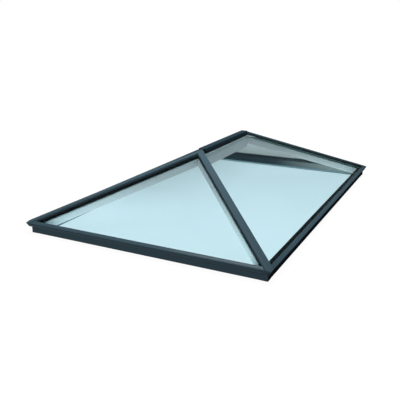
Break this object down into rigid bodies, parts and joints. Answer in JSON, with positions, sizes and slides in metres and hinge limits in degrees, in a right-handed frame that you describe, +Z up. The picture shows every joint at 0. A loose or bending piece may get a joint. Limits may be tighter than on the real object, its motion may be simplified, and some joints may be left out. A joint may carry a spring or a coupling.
{
  "type": "roof lantern",
  "caption": "Rectangular hipped roof lantern: dark metal base ring, slim hip and ridge caps, sloped double-glazed panes over an open light well, fixed down through an inner flange.",
  "frame": {"origin": "middle of the base ring on the floor plane it rests on", "axes": "+X along the ridge, +Y across the ridge, +Z up"},
  "size_m": [1.533, 1.023, 0.288],
  "materials": {
    "frame": "satin powder coat",
    "inside": "satin powder coat",
    "glass": "polished",
    "spacer": "satin",
    "seal": "matt"
  },
  "bodies": {
    "root": {"ring_right": "frame", "ring_back": "frame", "ring_left": "frame", "ring_front": "frame", "eaves_cap_right": "frame", "eaves_cap_back": "frame", "eaves_cap_left": "frame", "eaves_cap_front": "frame", "outer_pane_right": "glass", "outer_pane_back": "glass", "outer_pane_left": "glass", "outer_pane_front": "glass", "inner_pane_right": "glass", "inner_pane_back": "glass", "inner_pane_left": "glass", "inner_pane_front": "glass", "spacer_right": "spacer", "spacer_back": "spacer", "spacer_left": "spacer", "spacer_front": "spacer", "cap_seal_right": "seal", "cap_seal_back": "seal", "cap_seal_left": "seal", "cap_seal_front": "seal", "bed_seal_right": "seal", "bed_seal_back": "seal", "bed_seal_left": "seal", "bed_seal_front": "seal", "hip_cap_front_right": "frame", "hip_cap_back_right": "frame", "hip_cap_back_left": "frame", "hip_cap_front_left": "frame", "hip_rafter_front_right": "inside", "hip_rafter_back_right": "inside", "hip_rafter_back_left": "inside", "hip_rafter_front_left": "inside", "corner_boss_front_right": "frame", "corner_boss_back_right": "frame", "corner_boss_back_left": "frame", "corner_boss_front_left": "frame", "corner_cover_front_right": "frame", "corner_cover_back_right": "frame", "corner_cover_back_left": "frame", "corner_cover_front_left": "frame", "ridge_cap": "frame", "ridge_beam": "inside"}
  },
  "joints": []
}
